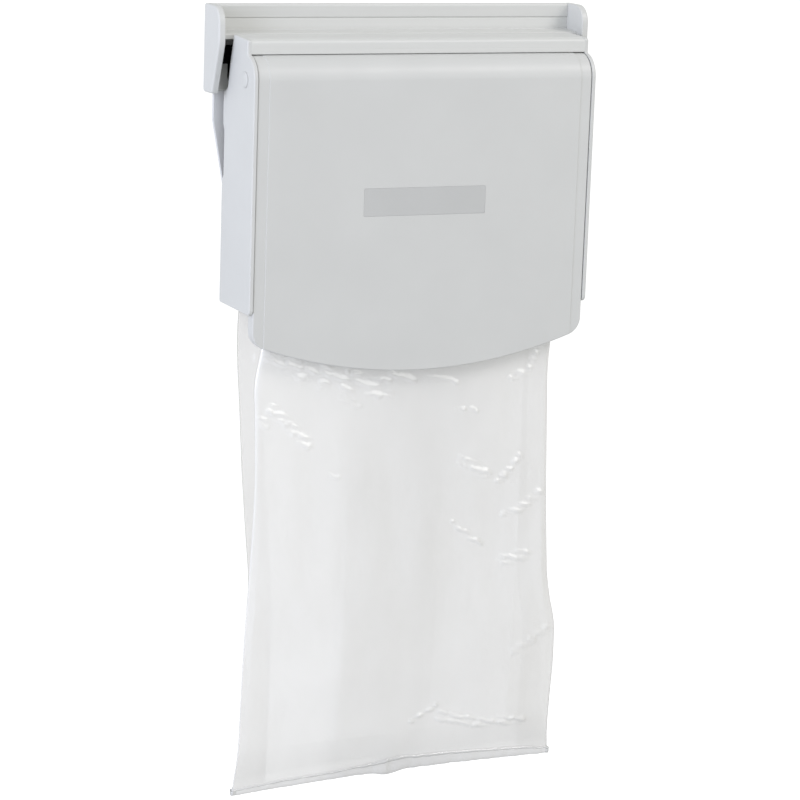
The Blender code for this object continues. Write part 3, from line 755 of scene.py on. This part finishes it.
def make_hoop_fittings(materials):
    near, far = HOOP_DEPTHS
    corners = [(-HOOP_HALF, near, 6), (HOOP_HALF, near, 6), (HOOP_HALF, far, 6), (-HOOP_HALF, far, 6)]
    hoop = [(x, depth, HOOP_HEIGHT) for x, depth in rounded(corners)]
    detailed("bag_hoop", wire("hoop", hoop, HOOP_WIRE, True), materials)
    rest = HOOP_HEIGHT + HOOP_WIRE + BAIL_WIRE + GAP
    depth, height = BAIL_AXIS
    arm = [(121.0, depth, height), (BAIL_HALF, depth, height), (BAIL_HALF, far - 4.0, rest + 0.4),
           (BAIL_HALF, far, rest)]
    bail = [(-x, d, z) for x, d, z in arm] + arm[::-1]
    detailed("clamp_bail", wire("bail", bent(bail, 3.0), BAIL_WIRE, False), materials)
    for word, side in SIDES:
        for word_2, spot in CLIP_DEPTHS.items():
            clip = block("clip", sorted((side * 113.4, side * (CHEEK_INNER - GAP))), (spot - 4, spot + 4),
                         (-161.9, -154.0))
            wire_x = side * HOOP_HALF
            seat = turned("seat", [(-9, 2.35), (9, 2.35)], at(wire_x, spot, HOOP_HEIGHT), (0, 1, 0))
            mouth = block("mouth", (wire_x - 1.8, wire_x + 1.8), (spot - 9, spot + 9), (HOOP_HEIGHT, -150.0))
            detailed(f"{word}_{word_2}_hoop_clip", bevel(cut(clip, seat, mouth), 0.45, 3), materials)
        bracket = block("bracket", sorted((side * 110.6, side * (CHEEK_INNER - GAP))), (depth - 4, depth + 4),
                        (height - 3.4, height + 4))
        hole = rod_x("hole", BAIL_AXIS, 1.9, *sorted((side * 105, side * 122)))
        detailed(f"{word}_bail_bracket", cut(bevel(bracket, 0.7, 4), hole), materials)


# Lid


def lid_outline(inset):
    """The lid's front outline in X and height: straight sides, round corners and a bowed bottom edge."""
    half = LID_HALF - inset
    radius = LID_BOTTOM_RADIUS - inset
    centre = LID_BOTTOM + LID_BOTTOM_RADIUS
    steps = 24
    across = [half * i / steps for i in range(2 - steps, steps - 1)]
    bow = [(x, centre - math.sqrt(radius**2 - x**2)) for x in across]
    corner = centre - math.sqrt(radius**2 - half**2)
    return rounded([(half, 8.0), (-half, 8.0), (-half, corner, LID_CORNER - inset * 0.6),
                    *bow, (half, corner, LID_CORNER - inset * 0.6)], 6)


def lid_profile(sink):
    """The lid's section in depth and height, sink millimetres under its outer face."""
    back = LID_FRONT - LID_RETURN
    barrel = arc(LID_AXIS, LID_RADIUS - sink, 0, 115, 40)
    return rounded([
        (LID_FRONT - sink, PAST_LID_BOTTOM), *barrel, (45.0, -24.0, 4.0), (back, -28.0, 3.0),
        (back, PAST_LID_BOTTOM),
    ], 10)


def badge_corners(grow):
    half, low, high = BADGE[0] + grow, BADGE[1] - grow, BADGE[2] + grow
    return [(-half, low, 1.0), (half, low, 1.0), (half, high, 1.0), (-half, high, 1.0)]


def make_lid(materials):
    full_width = (-PAST_LID_ENDS, PAST_LID_ENDS)
    shell = along_x("lid", lid_profile(LID_STEP), *full_width)
    combine(shell, [along_depth("front", lid_outline(0), 30, 80)], "INTERSECT")
    bevel(shell, 2.2, 6, 50)
    panel = along_x("panel", lid_profile(0), *full_width)
    middle = LID_HALF - LID_MARGIN
    combine(panel, [along_depth("front", lid_outline(0.5), 30, 80)], "INTERSECT")
    combine(panel, [block("middle", (-middle, middle), (20, 80), (PAST_LID_BOTTOM, 20))], "INTERSECT")
    bevel(panel, 0.35, 3, 50)
    inside = arc(LID_AXIS, LID_RADIUS - LID_WALL, 0, 115, 40)
    rear = 38.0
    hollow = along_x("hollow", [
        (LID_FRONT - LID_WALL, PAST_LID_BOTTOM), *inside, (rear, inside[-1][1]), (rear, PAST_LID_BOTTOM),
    ], *full_width)
    combine(hollow, [along_depth("front", lid_outline(2.6), 20, 80)], "INTERSECT")
    pocket = along_depth("pocket", rounded(badge_corners(0.08)), LID_FRONT - 0.75, LID_FRONT + 5)
    pin_hole = rod_x("hole", LID_AXIS, HOLE_RADIUS, *full_width)
    detailed("lid", cut(join(shell, panel), hollow, pocket, pin_hole), materials)
    badge = bevel(along_depth("badge", rounded(badge_corners(0)), LID_FRONT - 0.7, LID_FRONT - 0.02), 0.06, 2)
    detailed("lid_badge", badge, materials)


# Bag


def loop_with_arcs(corners):
    """A closed loop of six panels in X and depth; each corner is (x, depth, radius, columns to the next)."""
    arcs = []
    for index, (x, depth, radius, _) in enumerate(corners):
        point = Vector((x, depth))
        before = Vector(corners[index - 1][:2]) - point
        after = Vector(corners[(index + 1) % len(corners)][:2]) - point
        reach = min(radius, before.length * 0.45, after.length * 0.45)
        first, last = point + before.normalized() * reach, point + after.normalized() * reach
        steps = (i / 8 for i in range(9))
        arcs.append([first.lerp(point, t).lerp(point.lerp(last, t), t) for t in steps])
    loop = []
    for index, corner in enumerate(corners):
        path = np.array(arcs[index][4:] + arcs[(index + 1) % len(corners)][:5])
        run = np.concatenate(([0.0], np.cumsum(np.hypot(*np.diff(path, axis=0).T))))
        spots = np.linspace(0.0, run[-1], corner[3] + 1)[:-1]
        loop.append(np.column_stack([np.interp(spots, run, path[:, axis]) for axis in (0, 1)]))
    return np.vstack(loop)


def film_ring(front_left, front_right, back_left, back_right, back, front, radius):
    """The film's loop at one height, its side folds as deep as the film's own width makes them."""
    middle = (back + front) / 2
    fold = math.sqrt(max(0.0, GUSSET**2 - ((front - back) / 2) ** 2))
    fold = fold if front - back < FOLDED_UNDER else 0.0
    left, right = (front_left + back_left) / 2 + fold, (front_right + back_right) / 2 - fold
    return loop_with_arcs([
        (front_left, front, radius, PANEL_COLUMNS), (front_right, front, radius, GUSSET_COLUMNS),
        (right, middle, radius, GUSSET_COLUMNS), (back_right, back, radius, BACK_COLUMNS),
        (back_left, back, radius, GUSSET_COLUMNS), (left, middle, radius, GUSSET_COLUMNS),
    ])


def film_rows():
    """Heights down the bag: close together where the film is crumpled, and wider apart elsewhere."""
    rows = [HOOP_HEIGHT]
    while rows[-1] > FILM_SECTIONS[-1][0] + 1.0:
        crumpled = -385 < rows[-1] < -200 or -510 < rows[-1] < -480
        rows.append(rows[-1] - (1.1 if crumpled else 2.0))
    rows[-1] = FILM_SECTIONS[-1][0]
    return np.array(rows)


def eased(values, rows, reach):
    """The values with their corners rounded over this reach."""
    spread = np.abs(rows[:, None] - rows[None, :]) / reach
    weight = np.clip(1.0 - spread, 0.0, None)
    ends = np.minimum(np.abs(rows - rows[0]), np.abs(rows - rows[-1])) / reach
    weight *= np.where(spread * reach <= ends[:, None] * reach + 1e-6, 1.0, 0.0)
    return weight @ values / weight.sum(axis=1)


def noise_at(x, z, size_x, size_z, seed):
    spots = zip((x / size_x).ravel(), (z / size_z).ravel())
    return np.array([noise.noise((u, v, seed)) for u, v in spots]).reshape(x.shape)


def crease_relief(x, z, slope):
    """The crumpled bands of a panel with this slope: small folds, each leaning up and right, then back."""
    wander_x, wander_z = 1.6 * noise_at(x, z, 7.0, 6.0, 21.7), 1.6 * noise_at(x, z, 6.0, 7.0, 33.1)
    crumpled = np.zeros_like(x)
    for x0, z0, x1, z1, reach in FILM_CREASES:
        along, down = x1 - x0, z1 - z0
        t = ((x + wander_x - x0) * along + (z + wander_z - z0) * down) / (along**2 + down**2)
        held = np.clip(t, 0.0, 1.0)
        off = np.hypot(x + wander_x - x0 - held * along, z + wander_z - z0 - held * down)
        crumpled = np.maximum(crumpled, np.clip(1.6 * (1.0 - off / reach), 0.0, 1.0))
    crumpled *= np.clip(1.1 + 1.6 * noise_at(x, z, 5.0, 5.0, 4.9), 0.0, 1.0)
    rise, turn = math.tan(math.radians(FACET_RISE)), math.tan(math.radians(FACET_TURN))
    across_folds = z + x * turn / rise + 1.2 * wander_z + 0.5 * noise_at(x, z, 3.6, 4.2, 11.3)
    phase = np.mod(-across_folds / PLEAT, 1.0)
    fold = np.minimum(phase, (1.0 - phase) * PLEAT_FRONT / (1.0 - PLEAT_FRONT))
    return crumpled * np.clip(rise + slope, 0.0, 1.5 * rise) * PLEAT * fold


def film_relief(x, z):
    """How far a panel stands out of its flat loop: the marks of lengthwise folds, and soft waves."""
    folded = np.interp(x, (-123.0, -47.0, 27.0, 90.0, 128.0), (0.0, 5.2, 2.2, 3.4, 0.0))
    folded *= np.interp(z, (-533, -520, -500, -450, -330, -250), (0.0, 0.05, 0.6, 1.0, 0.6, 0.0))
    hang = np.interp(z, (-533, -520, -480, -330, -250, -205, -170), (0.0, 0.1, 0.7, 1.0, 0.45, 0.25, 0.0))
    return folded + hang * (2.4 * noise_at(x, z, 62.0, 150.0, 3.1) + 1.1 * noise_at(x, z, 26.0, 60.0, 7.7)
                            + 0.25 * noise_at(x, z, 12.0, 18.0, 2.2))


def seam_drop(x):
    """How far the seam hangs below its mean height: lowest at the left, with a small kink near the middle."""
    across = (x - SEAM_LEFT) / SEAM_WIDTH
    kink = np.exp(-(((x - PUCKER_AT) / PUCKER_REACH) ** 2))
    return 2.2 - 5.6 * across - 2.8 * np.sin(np.pi * across) + 2.6 * kink


def close_bottom(shape, ring):
    """Joins the front panel's edge to the back panel's, and each side fold's edge to itself."""
    back_from = PANEL_COLUMNS + 2 * GUSSET_COLUMNS
    left_from = back_from + BACK_COLUMNS
    for j in range(BACK_COLUMNS):
        shape.faces.new((ring[2 * j], ring[2 * j + 1], ring[2 * j + 2], ring[left_from - j - 1],
                         ring[(left_from - j) % len(ring)]))
    for start in (PANEL_COLUMNS, left_from):
        for i in range(GUSSET_COLUMNS):
            near, far = start + i, start + 2 * GUSSET_COLUMNS - i
            corners = [ring[k % len(ring)] for k in (near, near + 1, far - 1, far)]
            shape.faces.new(list(dict.fromkeys(corners)))


def make_bag(materials):
    rows = film_rows()
    table = np.array(FILM_SECTIONS)[::-1]
    sections = [np.interp(rows, table[:, 0], table[:, column]) for column in range(1, 8)]
    sections = np.array([eased(values, rows, 16.0) for values in sections]).T
    body = np.array([film_ring(*section) for section in sections])
    columns = body.shape[1]
    x, depth = body[..., 0], body[..., 1]
    z = np.repeat(rows[:, None], columns, axis=1)
    panel = np.zeros(columns)
    panel[3:PANEL_COLUMNS - 2] = 1.0
    back_from = PANEL_COLUMNS + 2 * GUSSET_COLUMNS
    panel[back_from + 2:back_from + BACK_COLUMNS - 1] = -1.0
    panel = np.convolve(np.concatenate((panel[-3:], panel, panel[:3])), np.ones(7) / 7, "valid")
    depth = depth + panel * film_relief(x, z + 40.0 * (panel < 0))
    # behind the lid the film has to stay clear of it; below the lid it may stand out further
    limit = np.interp(rows, (-236, -224, -160), (62.8, 56.4, 60.8))[:, None]
    depth = np.minimum(depth, limit)
    depth += np.clip(panel, 0.0, None) * crease_relief(x, z, np.gradient(depth, rows, axis=0))
    low = np.clip((-430.0 - z) / 95.0, 0.0, 1.0) ** 2
    z = z - low * seam_drop(x)

    top = []
    flat_top = film_ring(*FILM_SECTIONS[0][1:])
    middle = np.array([0.0, sum(HOOP_DEPTHS) / 2])
    half = np.array([HOOP_HALF, (HOOP_DEPTHS[1] - HOOP_DEPTHS[0]) / 2])
    outward = (flat_top - middle) / (half + FILM_OFF)
    for drop in np.linspace(CUFF, 0.0, 8):
        top.append((outward * (half - FILM_OFF) + middle, HOOP_HEIGHT - drop))
    for angle in np.radians(np.linspace(165, 15, 11)):
        ring = outward * (half + FILM_OFF * math.cos(angle)) + middle
        top.append((ring, HOOP_HEIGHT + FILM_OFF * math.sin(angle)))

    shape = bmesh.new()
    rings = [[shape.verts.new(at(*spot, height)) for spot in ring] for ring, height in top]
    rings += [[shape.verts.new(at(*spot)) for spot in zip(*row)] for row in zip(x, depth, z)]
    for first, second in zip(rings, rings[1:]):
        for i in range(columns):
            j = (i + 1) % columns
            face = shape.faces.new((first[i], first[j], second[j], second[i]))
            face.material_index = int(PANEL_COLUMNS <= i < back_from or i >= back_from + BACK_COLUMNS)
    close_bottom(shape, rings[-1])
    bag = from_bmesh("bag", shape)
    bag.data.shade_smooth()
    bag.name = bag.data.name = "bag_film"
    for name in ("bag_film", "side_fold_shaded"):
        bag.data.materials.append(materials[name])
    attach(bag, BODY_OF["bag"])
    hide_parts("bag")
    seam = make_seam(materials)


def make_seam(materials):
    """The bag's bottom seam: a narrow strip with a thicker sealed line along its top, puckered near the
    middle and curled at its ends."""
    shape = bmesh.new()
    first_x, last_x = -123.8, 131.2
    stations = np.linspace(first_x, last_x, 220)
    heights = np.interp(stations, (-124, -37, -12, PUCKER_AT, 14, 60, 110, 131),
                        (5.0, 6.5, 8.5, 12.5, 10.5, 9.0, 7.5, 5.0))
    # start and share of the height, half thickness, material
    bands = ((0.0, 1.0, 1.3, 0), (0.76, 0.28, 1.8, 1))
    for start, share, thick, index in bands:
        rings = []
        for x, height in zip(stations, heights):
            pucker = math.exp(-(((x - PUCKER_AT) / PUCKER_REACH) ** 2))
            curl = math.exp(-(((x - first_x) / 1.8) ** 2)) + math.exp(-(((x - last_x) / 2.2) ** 2))
            wave = noise.noise((x / 6.0, 8.1, 0.0))
            height += 0.8 * noise.noise((x / 17.0, 1.3, 0.0))
            bottom = FILM_SECTIONS[-1][0] - seam_drop(x) - 0.6 + 0.4 * wave
            lean = 0.6 * noise.noise((x / 12.0, 3.7, 0.0)) + 1.2 * pucker * noise.noise((x / 3.0, 6.6, 0.0))
            half = thick * (1.0 + 0.25 * noise.noise((x / 5.0, 5.2, start)) + 0.5 * pucker + 0.7 * curl)
            ring = []
            for step in range(SEAM_SIDES):
                angle = 2 * math.pi * step / SEAM_SIDES
                rise = bottom + height * (start + share * (0.5 + 0.5 * math.sin(angle)))
                bulge = half * math.cos(angle)
                ring.append(shape.verts.new(at(x, SEAM_DEPTH + lean + bulge, rise)))
            rings.append(ring)
        faces = [shape.faces.new((a[i], a[(i + 1) % SEAM_SIDES], b[(i + 1) % SEAM_SIDES], b[i]))
                 for a, b in zip(rings, rings[1:]) for i in range(SEAM_SIDES)]
        faces += [shape.faces.new(rings[0]), shape.faces.new(rings[-1])]
        # The last 2.4 mm at each end take the darker sealed film: painted shade in the curls. Along the top
        # it is the real sealed line.
        for face in faces:
            ends = min(face.verts[0].co.x / MM - first_x, last_x - face.verts[0].co.x / MM)
            face.material_index = 1 if ends < 2.4 else index
    seam = from_bmesh("bag_seam", shape)
    seam.data.shade_smooth()
    for name in ("bag_seam", "sealed_film_and_curl_shade"):
        seam.data.materials.append(materials[name])
    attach(seam, BODY_OF["bag"])
    return seam


make_camera()
make_light()
make_floor()
materials = make_materials()
for cad_node, cad_object in frame["nodes"].items():
    for material_slot in cad_object.material_slots:
        material_slot.material = materials[SLOT_OF[cad_node]]
make_rail(materials)
make_back_plate(materials)
make_wall_fittings(materials)
make_header(materials)
make_lid(materials)
make_crossbar(materials)
make_hoop_fittings(materials)
for side_word, side_sign in SIDES:
    make_cap(side_word, side_sign, materials)
    make_cheek(side_word, side_sign, materials)
    make_hinge_arm(side_word, side_sign, materials)
    make_lid_pin(side_word, side_sign, materials)
make_bag(materials)
